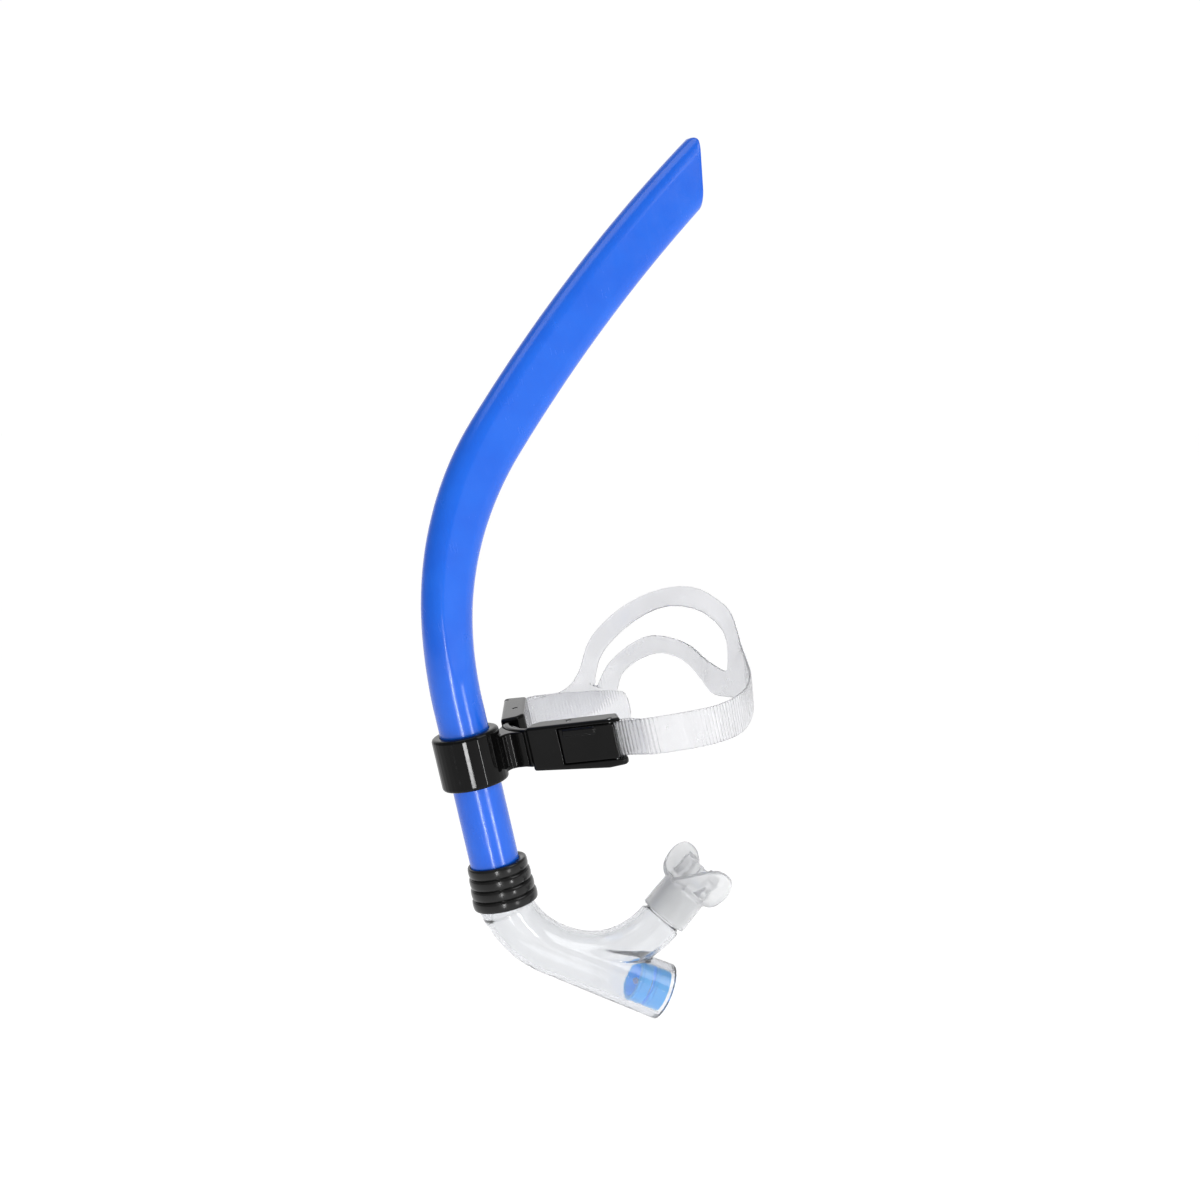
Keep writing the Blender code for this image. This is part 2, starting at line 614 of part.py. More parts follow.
def build_band(material):
    """The C-shaped band: full height in front, lower tongues for the buckles, a flat rest inside."""
    level = Matrix.Translation((0, 0, BAND_LEVEL))
    front_arm = (FRONT_SWEEP, 0.0)
    front = extruded(band_outline(front_arm, front_arm, 0.0), -BAND_HALF_HEIGHT, BAND_HALF_HEIGHT)
    front = moved(bevelled(front, 0.0009, 2, 60), level)
    outline = band_outline(LEFT_ARM, RIGHT_ARM, TONGUE_INSET)
    tongues = moved(extruded(outline, -TONGUE_HALF_HEIGHT, TONGUE_HALF_HEIGHT), level)
    rest = block((-0.0020, -REST_HALF_WIDTH, -REST_HALF_HEIGHT), (0.0, REST_HALF_WIDTH, REST_HALF_HEIGHT))
    pocket = block((BAND_FRONT - 0.002, -0.005, -0.006), (BAND_FRONT + 0.0028, 0.005, 0.006))
    band = cut(joined(front, tongues, bevelled(rest, 0.0006, 1, 60)), moved(pocket, level))
    add_part("forehead_band", band, material)


# ---------------------------------------------------------------- buckles

def buckle_matrix(side):
    """A buckle's frame in the object's frame, mirrored on the right side."""
    sweep, straight = LEFT_ARM if side < 0 else RIGHT_ARM
    turn = math.radians(sweep)
    along = Vector((math.sin(turn), -math.cos(turn), 0))
    inwards = Vector((math.cos(turn), math.sin(turn), 0))
    tangent = Vector((BAND_FRONT + BAND_RADIUS * (1 - math.cos(turn)), -BAND_RADIUS * math.sin(turn), 0))
    origin = tangent + along * (straight - FRAME_OVERLAP) - inwards * FRAME_PROUD
    matrix = Matrix((along, inwards, (0, 0, 1))).transposed().to_4x4()
    matrix.translation = (origin[0], origin[1], BAND_LEVEL)
    return matrix if side < 0 else Matrix.Scale(-1, 4, (0, 1, 0)) @ matrix


def add_pair(name, mesh, material, pin=(0, 0)):
    """The left piece and its mirror image on the right, each with its origin on its pin's axis."""
    for side, word in ((-1, "left"), (1, "right")):
        place = buckle_matrix(side)
        piece = moved(mesh.copy(), place)
        add_part(f"{word}_{name}", piece, material, tuple(place @ Vector((pin[0], pin[1], 0))))


def upright_pin(at, radius, half_length):
    return moved(rod(radius, -half_length, half_length, 20), Matrix.Translation((at[0], at[1], 0)))


def build_buckle_frames(material):
    """A front block with a pocket for the band's tongue, and a channel for the strap."""
    side = moved(extruded(FRAME_SIDE, -0.02, 0.02), Matrix.Rotation(math.radians(90), 4, "X"))
    body = bevelled(cut(side, extruded(FRAME_PLAN, -0.02, 0.02), "INTERSECT"), 0.0012, 2)
    channel = CHANNEL_HALF_HEIGHT
    body = cut(body, block((CHANNEL_START, -0.001, -channel), (0.06, CHANNEL_DEPTH, channel)))
    tongue = TONGUE_HALF_HEIGHT + FIT_GAP
    pocket = (FRAME_PROUD - FIT_GAP, FRAME_PROUD + BAND_THICKNESS + 0.0015)
    body = cut(body, block((-0.001, pocket[0], -tongue), (FRAME_OVERLAP + 0.0005, pocket[1], tongue)))
    for at, radius in ((ROLLER_AT, ROLLER_PIN_RADIUS), (LEVER_PIN_AT, LEVER_PIN_RADIUS)):
        hole = rod(radius + FIT_GAP, -PIN_HALF_LENGTH - 0.0004, 0.02, 20)
        body = cut(body, moved(hole, Matrix.Translation((*at, 0))))
    add_pair("buckle_frame", body, material)


def build_rollers(steel, material):
    """The rollers that the strap turns back round, and their pins."""
    bore = ROLLER_PIN_RADIUS + FIT_GAP
    half = CHANNEL_HALF_HEIGHT - FIT_GAP
    profile = [(ROLLER_RADIUS, half), (ROLLER_RADIUS, -half), (bore, -half), (bore, half)]
    at = Matrix.Translation((*ROLLER_AT, 0))
    add_pair("strap_roller", moved(turned(profile, 24), at), material, ROLLER_AT)
    add_pair("roller_pin", upright_pin(ROLLER_AT, ROLLER_PIN_RADIUS, PIN_HALF_LENGTH), steel, ROLLER_AT)


def build_levers(steel, material):
    """The release levers: a plate with a finger ridge, a pivot barrel and a tooth for the strap."""
    high = LEVER_HALF_HEIGHT
    plate = bevelled(block((0.0176, 0.0, -high), (0.0468, LEVER_THICKNESS, high)), 0.0005, 1)
    barrel = moved(rod(0.0016, -high, high, 24), Matrix.Translation((*LEVER_PIN_AT, 0)))
    ridge = bevelled(block((0.0200, -0.0008, 0.0048), (0.0370, 0.0005, 0.0080)), 0.0004, 1)
    tooth = block((0.0230, 0.0010, -0.0070), (0.0244, 0.0029, 0.0070))
    lever = joined(plate, barrel, ridge, tooth)
    lever = cut(lever, upright_pin(LEVER_PIN_AT, LEVER_PIN_RADIUS + 0.0002, 0.02))
    add_pair("release_lever", lever, material, LEVER_PIN_AT)
    add_pair("lever_pin", upright_pin(LEVER_PIN_AT, LEVER_PIN_RADIUS, PIN_HALF_LENGTH), steel, LEVER_PIN_AT)


# ---------------------------------------------------------------- head strap

def smooth_rail(points, count):
    """Evenly shared points on a smooth curve through the given ones."""
    knots = [Vector(p) for p in points]
    knots = [2 * knots[0] - knots[1]] + knots + [2 * knots[-1] - knots[-2]]
    rail = []
    for k in range(count + 1):
        place = k / count * (len(knots) - 3)
        i = min(int(place), len(knots) - 4)
        t = place - i
        a, b, c, d = knots[i:i + 4]
        rail.append(0.5 * (2 * b + (c - a) * t + (2 * a - 5 * b + 4 * c - d) * t * t
                           + (3 * b - a - 3 * c + d) * t * t * t))
    return rail


def buckle_wrap(side):
    """The strap's centre line inside a buckle, from its tail's exit round the roller to its exit."""
    x, y = ROLLER_AT
    turn = arc((x, y), STRAP_LOOP_RADIUS, 90, 270, 8)
    flat = [(FRAME_LENGTH + 0.001, y + STRAP_LOOP_RADIUS)] + turn + [(0.039, y - STRAP_LOOP_RADIUS)]
    flat.append((FRAME_LENGTH + 0.001, y - STRAP_LOOP_RADIUS))
    return [buckle_matrix(side) @ Vector((px, py, 0)) for px, py in flat]


def strap_end(side, tail):
    """Top and bottom rails from a tail's free end through the buckle to its exit."""
    lift = Vector((0, 0, STRAP_HALF_WIDTH))
    wrap = buckle_wrap(side)
    free = smooth_rail([wrap[0]] + [Vector(p) for p in tail], 2 * len(tail))[1:]
    line = list(reversed(free)) + wrap
    return [p + lift for p in line], [p - lift for p in line]


def strap_rails():
    """The near end, the upper and lower bands and the far end, each as (top, bottom) rails."""
    left_top, left_bottom = strap_end(-1, LEFT_TAIL)
    right_top, right_bottom = strap_end(1, RIGHT_TAIL)
    near_top = left_top + smooth_rail([left_top[-1], *NEAR_TOP], 16)[1:]
    near_bottom = left_bottom + smooth_rail([left_bottom[-1], *NEAR_BOTTOM], 16)[1:]
    far_top = smooth_rail([*FAR_TOP, right_top[-1]], 10) + right_top[-2::-1]
    far_bottom = smooth_rail([*FAR_BOTTOM, right_bottom[-1]], 10) + right_bottom[-2::-1]
    upper = (smooth_rail([near_top[-1], *UPPER_OUTER, far_top[0]], 18),
             smooth_rail([SPLIT_NEAR, *UPPER_INNER, SPLIT_FAR], 18))
    lower = (smooth_rail([SPLIT_NEAR, *LOWER_INNER, SPLIT_FAR], 18),
             smooth_rail([near_bottom[-1], *LOWER_OUTER, far_bottom[0]], 18))
    return (near_top, near_bottom), upper, lower, (far_top, far_bottom)


def strap_columns(top, bottom, middle=None):
    """Rows of five points across the strap, through a middle point where one is given."""
    rows = []
    for i, (a, b) in enumerate(zip(top, bottom)):
        centre = (a + b) / 2 if middle is None or middle[i] is None else middle[i]
        rows.append([a, (a + centre) / 2, centre, (centre + b) / 2, b])
    return rows


def build_strap(material):
    near, upper, lower, far = strap_rails()
    near_middle = [None] * (len(near[0]) - 1) + [Vector(SPLIT_NEAR)]
    far_middle = [Vector(SPLIT_FAR)] + [None] * (len(far[0]) - 1)
    bm = bmesh.new()
    strips = [strap_columns(*near, near_middle), strap_columns(*far, far_middle)]
    strips += [[[a, (a + b) / 2, b] for a, b in zip(*band)] for band in (upper, lower)]
    for strip in strips:
        rows = [[bm.verts.new(p) for p in row] for row in strip]
        for first, second in zip(rows, rows[1:]):
            for i in range(len(first) - 1):
                bm.faces.new((first[i], second[i], second[i + 1], first[i + 1]))
    bmesh.ops.remove_doubles(bm, verts=bm.verts, dist=0.00005)
    sheet = mesh_of(bm)
    thick = baked(sheet, ("SOLIDIFY", {"thickness": STRAP_THICKNESS, "offset": 0.0, "use_even_offset": True}))
    add_part("head_strap", thick, material)


# ---------------------------------------------------------------- assembly

def build():
    blue = make_material("blue_tube_plastic", (0.02, 0.14, 0.85), 0.22)
    valve_blue = make_material("valve_blue_plastic", (0.16, 0.42, 0.80), 0.35)
    black = make_material("black_clamp_plastic", (0.012, 0.013, 0.014), 0.28)
    rubber = make_material("black_rubber", (0.010, 0.010, 0.011), 0.42)
    clear = make_material("clear_plastic", (0.92, 0.94, 0.95), 0.08, clear=0.9)
    silicone = make_material("clear_silicone", (0.88, 0.90, 0.90), 0.25, clear=0.8)
    steel = make_material("stainless_pin", (0.62, 0.63, 0.64), 0.25, metallic=1.0)
    build_main_tube(blue)
    build_coupling(rubber)
    mouth_end = add_frame("mouth_end_axis", (TUBE_X, 0, 0), (0, 0, math.radians(MOUTH_TURN)))
    build_lower_tube(clear, mouth_end)
    purge = purge_matrix()
    branch = add_frame("purge_axis", purge.to_translation(), purge.to_euler(), mouth_end)
    build_purge_valve(valve_blue, silicone, branch)
    neck = neck_matrix() @ Matrix.Rotation(math.radians(PIECE_TURN), 4, "Z")
    neck_axis = add_frame("neck_axis", neck.to_translation(), neck.to_euler(), mouth_end)
    build_mouthpiece(silicone, neck_axis)
    build_clamp(black)
    build_band(black)
    build_buckle_frames(black)
    build_rollers(steel, black)
    build_levers(steel, black)
    build_strap(silicone)


clear_scene()
PARTS = make_collection(COLLECTION)
build()
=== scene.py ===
"""The visual model of the front-mounted swim snorkel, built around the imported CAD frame."""

import math

import bmesh
import bpy
import numpy as np
from mathutils import Matrix, Vector


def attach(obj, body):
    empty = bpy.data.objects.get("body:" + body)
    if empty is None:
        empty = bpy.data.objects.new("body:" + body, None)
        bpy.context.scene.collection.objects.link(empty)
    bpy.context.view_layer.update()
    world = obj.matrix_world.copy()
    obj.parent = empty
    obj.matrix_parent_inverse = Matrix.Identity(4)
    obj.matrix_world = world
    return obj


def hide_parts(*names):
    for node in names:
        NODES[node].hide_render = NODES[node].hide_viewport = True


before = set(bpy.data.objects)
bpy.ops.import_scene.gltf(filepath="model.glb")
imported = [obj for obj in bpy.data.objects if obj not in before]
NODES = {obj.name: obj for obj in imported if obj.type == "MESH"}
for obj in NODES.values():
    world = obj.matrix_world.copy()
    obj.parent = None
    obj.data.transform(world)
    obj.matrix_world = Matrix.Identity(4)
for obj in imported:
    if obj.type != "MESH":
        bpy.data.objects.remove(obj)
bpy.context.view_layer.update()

# Main tube. Every size here is in metres and every angle in degrees.
TUBE_X = -0.027
TUBE_BOTTOM = -0.060
TUBE_RADIUS = 0.0120
TUBE_WALL = 0.0017
TUBE_RUNS = ((0.0857, 0.0), (0.0373, 10.4), (0.0963, 36.3), (0.184, 12.4))
TUBE_STEPS = (40, 60, 160, 240)
FLAT_START = 0.099
FLAT_FULL = 0.220
FLAT_HALF_WIDTH = 0.0144
FLAT_HALF_DEPTH = 0.0076
FLAT_HALF_FACE = 0.0068
SEAM_HALF_FACE = 0.0008
TIP_X = 0.1566
TIP_LEAN = 9.0
TIP_ROUND = 0.0020
TUBE_COLUMNS = 128
TUBE_ROWS = 210
MOUTH_EDGE = 0.0004
FOOT_ROUND = 0.0003

# Ribbed coupling: a sleeve that is thicker at the back, round a bore that widens at its lower mouth.
COUPLING_TOP = -0.0533
COUPLING_BOTTOM = -0.0750
COUPLING_RADII = (0.0139, 0.0152)
COUPLING_SHIFT = 0.0010
RIB_COUNT = 4
RIB_HEIGHT = 0.0010
RIB_STEPS = 14
COUPLING_SIDES = 128
COUPLING_BORE = 0.0123
COUPLING_FLARE = ((0.0137, -0.0020), (0.0137, 0.0004), (0.0131, 0.0020), (0.0125, 0.0045))

# Mouth end.
MOUTH_TURN = -12.0
SPIGOT_TOP = -0.0610
SPIGOT_RADIUS = 0.0118
BEND_TOP = -0.0670
BEND_RADIUS = 0.0465
BEND_TURN = 127.0
LOWER_RADIUS = 0.0129
LOWER_WALL = 0.0020
COLLAR_RADIUS = 0.0112
COLLAR_SPAN = (-0.0830, COUPLING_BOTTOM - 0.0003)
MOUTH_RADIUS = 0.0112
NECK_RADIUS = 0.0096
NECK_LENGTH = 0.0150
PURGE_TURN = 53.0
PURGE_LENGTH = 0.0612
PURGE_RADIUS = 0.0143
PURGE_BORE = 0.0106
LOWER_VOXEL = 0.00045

# Mouthpiece.
PIECE_TURN = 5.0
SLEEVE_LENGTH = 0.0150
SLEEVE_RADIUS = 0.0122
PIECE_BORE = 0.0075
FLANGE_AT = 0.0025
FLANGE_PINCH = 0.20
FLANGE_HALF_WIDTH = 0.0280
FLANGE_HALF_HEIGHT = 0.0132
FLANGE_WRAP = 0.0195
FLANGE_THICKNESS = 0.0020
FLANGE_POWER = 2.6
WRAP_POWER = 2.2
FLANGE_COLUMNS = 144
FLANGE_ROWS = 18
PIECE_VOXEL = 0.00042

# The strap's ridges, which stand crosswise round the middle of the head.
HEAD_CENTRE = (0.055, 0.0)
HEAD_RADIUS = 0.062
RIDGE_PITCH = 0.0017
RIDGE_DEPTH = 0.00030
STRAP_VOXEL = 0.00034

ROUND_SIDES = 96

# The plain CAD pieces with rounded edges: name, node, voxel, rounds of smoothing, material, body and slot.
BLACK = ("black", "bracket", "black_plastic")
ROUNDED = [("valve_seat", "purge_valve_seat", 0.00022, 3, "valve_blue", "mouth_end", "valve_blue"),
           ("valve_cap", "purge_cap", 0.00022, 3, "valve_blue", "mouth_end", "valve_blue"),
           ("valve_flap", "purge_diaphragm", 0.00020, 2, "silicone", "purge_flap", "clear_silicone"),
           ("clamp_ring", "tube_clamp", 0.00032, 6, *BLACK),
           ("band", "forehead_band", 0.00030, 6, *BLACK)]
for side in ("left", "right"):
    ROUNDED += [(f"{side}_buckle", f"{side}_buckle_frame", 0.00026, 6, *BLACK),
                (f"{side}_lever", f"{side}_release_lever", 0.00022, 3, "black", f"{side}_lever",
                 "black_plastic"),
                (f"{side}_roller", f"{side}_strap_roller", 0.00018, 3, "black", f"{side}_roller",
                 "black_plastic")]
    ROUNDED += [(f"{side}_{kind}_steel", f"{side}_{kind}", 0.00012, 3, "steel", "bracket", "steel_pin")
                for kind in ("lever_pin", "roller_pin")]

# Studio: the world's grey by direction, from before the object (0) to behind it (1).
WORLD_BEHIND = (0.383, 0.924, 0.0)
WORLD_STRENGTH = 1.02
WORLD_ENDS = ((0.0, 0.45), (1.0, 1.0))
WORLD_STOPS = ((0.35, 0.30), (0.73, 0.36), (0.84, 0.62), (0.92, 1.0))
FLOOR_HALF_SIZE = 25.0
FLOOR_LEVEL = -0.36
FLOOR_GLOW = 0.80
# Each light's name, place, aim, size and power in watts.
LIGHTS = (("key", (0.95, -1.15, 0.85), (0.0, 0.0, 0.05), (0.9, 1.1), 8),
          ("strip_front", (-0.413, -0.757, -0.135), (-0.027, 0.0, -0.135), (0.035, 0.39), 2.2),
          ("strip_right", (0.250, -0.804, -0.235), (-0.027, 0.0, -0.235), (0.035, 0.19), 0.9),
          ("top", (0.0, -0.1, 1.2), (0.0, 0.0, 0.0), (1.2, 0.7), 4))
CAMERA_PLACE = (-0.3281, -0.9267, 0.2210)
CAMERA_AIM = (0.0569, 0, 0.056)
CAMERA_ROLL = 12.46
CAMERA_LENS = 61.86


# ---------------------------------------------------------------- meshes

def new_mesh(points, faces):
    mesh = bpy.data.meshes.new("shape")
    mesh.from_pydata([tuple(p) for p in points], [], faces)
    return outward(mesh)


def outward(mesh):
    """The mesh welded, with its faces turned outwards."""
    bm = bmesh.new()
    bm.from_mesh(mesh)
    bmesh.ops.remove_doubles(bm, verts=bm.verts, dist=0.000005)
    bmesh.ops.recalc_face_normals(bm, faces=bm.faces)
    bm.to_mesh(mesh)
    bm.free()
    return mesh


def baked(mesh, *modifiers):
    """The mesh after the modifiers, each given as (type, settings)."""
    ob = bpy.data.objects.new("work", mesh)
    bpy.context.scene.collection.objects.link(ob)
    for kind, settings in modifiers:
        mod = ob.modifiers.new(kind.title(), kind)
        for key, value in settings.items():
            setattr(mod, key, value)
    result = bpy.data.meshes.new_from_object(ob.evaluated_get(bpy.context.evaluated_depsgraph_get()))
    bpy.data.objects.remove(ob, do_unlink=True)
    return result


def cut(mesh, other, operation="DIFFERENCE"):
    tool = bpy.data.objects.new("tool", other)
    bpy.context.scene.collection.objects.link(tool)
    result = baked(mesh, ("BOOLEAN", {"operation": operation, "object": tool, "solver": "EXACT"}))
    bpy.data.objects.remove(tool, do_unlink=True)
    return result


def joined(*meshes):
    result = meshes[0]
    for mesh in meshes[1:]:
        result = cut(result, mesh, "UNION")
    return result


def moved(mesh, matrix):
    mesh.transform(matrix)
    return mesh


def softened(mesh, voxel, rounds):
    """The mesh as one skin of small quads, with its edges rounded."""
    remesh = ("REMESH", {"mode": "VOXEL", "voxel_size": voxel, "adaptivity": 0.0})
    return baked(mesh, remesh, ("SMOOTH", {"factor": 0.5, "iterations": rounds}))


def block(low, high):
    bm = bmesh.new()
    bmesh.ops.create_cube(bm, size=1.0)
    bmesh.ops.scale(bm, vec=[h - l for l, h in zip(low, high)], verts=bm.verts)
    bmesh.ops.translate(bm, vec=[(h + l) / 2 for l, h in zip(low, high)], verts=bm.verts)
    mesh = bpy.data.meshes.new("block")
    bm.to_mesh(mesh)
    bm.free()
    return mesh


def rod(radius, low, high, end_radius=None):
    """A round bar or a cone along the Z axis."""
    bm = bmesh.new()
    top = radius if end_radius is None else end_radius
    bmesh.ops.create_cone(bm, cap_ends=True, segments=ROUND_SIDES, radius1=radius, radius2=top,
                          depth=high - low)
    bmesh.ops.translate(bm, vec=(0, 0, (low + high) / 2), verts=bm.verts)
    mesh = bpy.data.meshes.new("rod")
    bm.to_mesh(mesh)
    bm.free()
    return mesh


def turned(profile, sides=ROUND_SIDES):
    """A closed profile of (radius, height) points turned about the Z axis."""
    points, faces = [], []
    count = len(profile)
    for k in range(sides):
        a = 2 * math.pi * k / sides
        points += [(r * math.cos(a), r * math.sin(a), z) for r, z in profile]
        for i in range(count):
            j, after = (i + 1) % count, (k + 1) % sides
            faces.append((k * count + i, k * count + j, after * count + j, after * count + i))
    return new_mesh(points, faces)


def pipe(points, radii, sides=80):
    """A solid round bar of varying radius along points in the XZ plane."""
    verts, faces = [], []
    count = len(points)
    for i, (p, radius) in enumerate(zip(points, radii)):
        along = Vector(points[min(i + 1, count - 1)]) - Vector(points[max(i - 1, 0)])
        across = Vector((along.z, 0, -along.x)).normalized()
        for k in range(sides):
            a = 2 * math.pi * k / sides
            verts.append(Vector(p) + across * (radius * math.cos(a)) + Vector((0, radius * math.sin(a), 0)))
    for i in range(count - 1):
        for k in range(sides):
            j = (k + 1) % sides
            faces.append((i * sides + k, i * sides + j, (i + 1) * sides + j, (i + 1) * sides + k))
    faces += [tuple(range(sides)), tuple(range((count - 1) * sides, count * sides))]
    return new_mesh(verts, faces)


def smooth_step(value):
    value = min(max(value, 0.0), 1.0)
    return value * value * (3 - 2 * value)


def bend_path(start, heading, runs, steps):
    """Places (x, z), headings from +Z towards +X, and lengths, along runs of (length, turn)."""
    x, z = start
    travelled = 0.0
    path = [((x, z), heading, travelled)]
    for (length, turn), count in zip(runs, steps):
        for _ in range(count):
            middle = math.radians(heading + turn / count / 2)
            half = math.radians(turn / count / 2)
            chord = length / count * (math.sin(half) / half if half else 1.0)
            x += chord * math.sin(middle)
            z += chord * math.cos(middle)
            heading += turn / count
            travelled += length / count
            path.append(((x, z), heading, travelled))
    return path


# ---------------------------------------------------------------- pieces

def show(name, mesh, material, body, slot, *nodes):
    """Puts a piece in the scene in place of the CAD nodes, riding on a body."""
    mesh.name = name
    mesh.materials.clear()
    mesh.materials.append(material)
    mesh.shade_smooth()
    ob = bpy.data.objects.new(name, mesh)
    bpy.context.scene.collection.objects.link(ob)
    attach(ob, body)
    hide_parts(*nodes)


def cad_mesh(name):
    """A copy of a CAD node's mesh, welded."""
    mesh = NODES[name].data.copy()
    mesh.materials.clear()
    return outward(mesh)


def flatness(travelled):
    """The section's half width, half depth and half face at a length along the tube."""
    share = min(max((travelled - FLAT_START) / (FLAT_FULL - FLAT_START), 0.0), 1.0)
    half_width = TUBE_RADIUS + (FLAT_HALF_WIDTH - TUBE_RADIUS) * smooth_step(share)
    half_depth = TUBE_RADIUS + (FLAT_HALF_DEPTH - TUBE_RADIUS) * share ** 0.8
    half_face = max(SEAM_HALF_FACE, FLAT_HALF_FACE * math.tanh(1.8 * share ** 0.4))
    return half_width, half_depth, half_face


def section_points(half_width, half_depth, half_face):
    """Evenly spaced points round the section, its creases slightly rounded."""
    half_depth = min(half_depth, math.sqrt(half_width ** 2 - half_face ** 2))
    centre = (half_width ** 2 - half_face ** 2 - half_depth ** 2) / (2 * (half_width - half_face))
    radius = half_width - centre
    swing = math.atan2(half_depth, half_face - centre)
    angles = np.linspace(0, swing, 60)
    x = centre + radius * np.cos(angles)
    y = radius * np.sin(angles)
    quarter = np.column_stack((np.append(x, 0.0), np.append(y, half_depth)))
    half = np.vstack((quarter, quarter[-2::-1] * (-1, 1)))
    loop = np.vstack((half, half[-2::-1] * (1, -1)))
    steps = np.hypot(*np.diff(loop, axis=0).T)
    length = np.append(0, np.cumsum(steps))
    even = np.linspace(0, length[-1], 4 * TUBE_COLUMNS + 1)[:-1]
    fine = np.column_stack([np.interp(even, length, loop[:, k]) for k in (0, 1)])
    weights = np.exp(-0.5 * (np.arange(-8, 9) / 2.6) ** 2)
    weights /= weights.sum()
    blurred = sum(w * np.roll(fine, k, axis=0) for w, k in zip(weights, range(-8, 9)))
    return blurred[::4]


def tip_overshoot(x, z):
    """How far points are past the slanted, round-cornered mouth of the tube."""
    path = bend_path((TUBE_X, TUBE_BOTTOM), 0.0, TUBE_RUNS, TUBE_STEPS)
    (_, middle_z), heading, _ = min(path, key=lambda step: abs(step[0][0] - TIP_X))
    skin, lean = math.radians(heading), math.radians(TIP_LEAN)
    edge = np.array((math.sin(lean), math.cos(lean)))
    face = np.array((math.cos(lean), -math.sin(lean)))
    along = np.array((math.sin(skin), math.cos(skin)))
    middle = np.array((TIP_X, middle_z))
    rise = FLAT_HALF_WIDTH / math.sin(skin - lean)
    back = TIP_ROUND / math.tan((skin - lean) / 2)
    low_back = TIP_ROUND * math.tan((skin - lean) / 2)
    place = np.stack((x, z), axis=-1)
    past = (place - middle) @ face
    for sign, shift in ((1, rise - back), (-1, rise - low_back)):
        away = place - (middle + edge * sign * shift - face * TIP_ROUND)
        corner = (away @ along > 0) & (away @ edge * sign > 0)
        past = np.where(corner, np.hypot(away[..., 0], away[..., 1]) - TIP_ROUND, past)
    return past


def trimmed_skin(table, lengths):
    """Rows of points along each line of the skin, ending at the tube's slanted mouth."""
    past = tip_overshoot(table[:, :, 0], table[:, :, 2])
    rows = []
    for j in range(table.shape[1]):
        after = int(np.argmax(past[:, j] >= 0))
        share = -past[after - 1, j] / (past[after, j] - past[after - 1, j])
        end = lengths[after - 1] + share * (lengths[after] - lengths[after - 1])
        stops = np.linspace(0.0, 1.0, TUBE_ROWS) * (end - MOUTH_EDGE)
        stops = np.append(stops, end)
        rows.append(np.column_stack([np.interp(stops, lengths, table[:, j, k]) for k in range(3)]))
    return np.stack(rows, axis=1)


def build_tube():
    """The blue tube: an outer and an inner skin joined by a rounded lip and foot."""
    path = bend_path((TUBE_X, TUBE_BOTTOM), 0.0, TUBE_RUNS, TUBE_STEPS)
    lengths = np.array([travelled for _, _, travelled in path])
    skins = []
    for inset in (0.0, TUBE_WALL):
        table = []
        for (x, z), heading, travelled in path:
            width, depth, face = flatness(travelled)
            section = section_points(width - inset, depth - inset, face)
            turn = math.radians(heading)
            table.append(np.column_stack((x + section[:, 0] * math.cos(turn), section[:, 1],
                                          z - section[:, 0] * math.sin(turn))))
        skins.append(trimmed_skin(np.array(table), lengths))
    outer, inner = skins
    foot = [outer[0] * (1 - f) + inner[0] * f for f in (0.85, 0.15)]
    lip = [outer[-1] * (1 - f) + inner[-1] * f for f in (0.2, 0.8)]
    foot = [ring - (0, 0, FOOT_ROUND) for ring in foot]
    loop = [*outer[:-1], *lip, *inner[-2::-1], *foot]
    count = TUBE_COLUMNS
    faces = []
    for i in range(len(loop)):
        after = (i + 1) % len(loop)
        for k in range(count):
            j = (k + 1) % count
            faces.append((i * count + k, i * count + j, after * count + j, after * count + k))
    return new_mesh(np.vstack(loop).tolist(), faces)


def build_coupling():
    pitch = (COUPLING_TOP - COUPLING_BOTTOM) / RIB_COUNT
    outside = []
    for i in range(RIB_COUNT):
        base = COUPLING_RADII[0] + (COUPLING_RADII[1] - COUPLING_RADII[0]) * i / (RIB_COUNT - 1)
        top = COUPLING_TOP - i * pitch
        for k in range(RIB_STEPS + 1):
            swing = math.pi * k / RIB_STEPS
            depth = 0.5 * pitch * (1 - math.cos(swing) * 0.95)
            outside.append((base - 0.0001 + RIB_HEIGHT * math.sin(swing) ** 0.6, top - depth))
    solid = turned([(0, outside[0][1])] + outside + [(0, outside[-1][1])], COUPLING_SIDES)
    flare = [(radius, COUPLING_BOTTOM + rise) for radius, rise in COUPLING_FLARE]
    above = COUPLING_TOP + 0.002
    bore = [(0, flare[0][1])] + flare + [(COUPLING_BORE, BEND_TOP), (COUPLING_BORE, above), (0, above)]
    sleeve = cut(moved(solid, Matrix.Translation((COUPLING_SHIFT, 0, 0))), turned(bore, COUPLING_SIDES))
    return moved(sleeve, Matrix.Translation((TUBE_X, 0, 0)))


def mouth_end_matrix():
    return Matrix.Translation((TUBE_X, 0, 0)) @ Matrix.Rotation(math.radians(MOUTH_TURN), 4, "Z")


def lower_path(steps):
    """The lower tube's centre line in the mouth end's frame, from the spigot down and round to the neck."""
    bend = math.radians(BEND_TURN) * BEND_RADIUS
    runs = ((SPIGOT_TOP - BEND_TOP, 0.0), (bend, -BEND_TURN), (NECK_LENGTH + 0.001, 0.0))
    return bend_path((0.0, SPIGOT_TOP), 180.0, runs, steps)


def purge_matrix():
    """The purge branch's frame in the mouth end's frame: Z runs out along the branch."""
    turn = math.radians(PURGE_TURN)
    place = (BEND_RADIUS * (1 - math.cos(turn)), 0, BEND_TOP - BEND_RADIUS * math.sin(turn))
    return Matrix.Translation(place) @ Matrix.Rotation(math.pi - turn, 4, "Y")


def neck_matrix():
    """The mouthpiece's frame in the mouth end's frame: Z runs out along the neck."""
    (x, z), heading, _ = lower_path((1, 4, 1))[-1]
    return Matrix.Translation((x, 0, z)) @ Matrix.Rotation(math.radians(heading), 4, "Y")


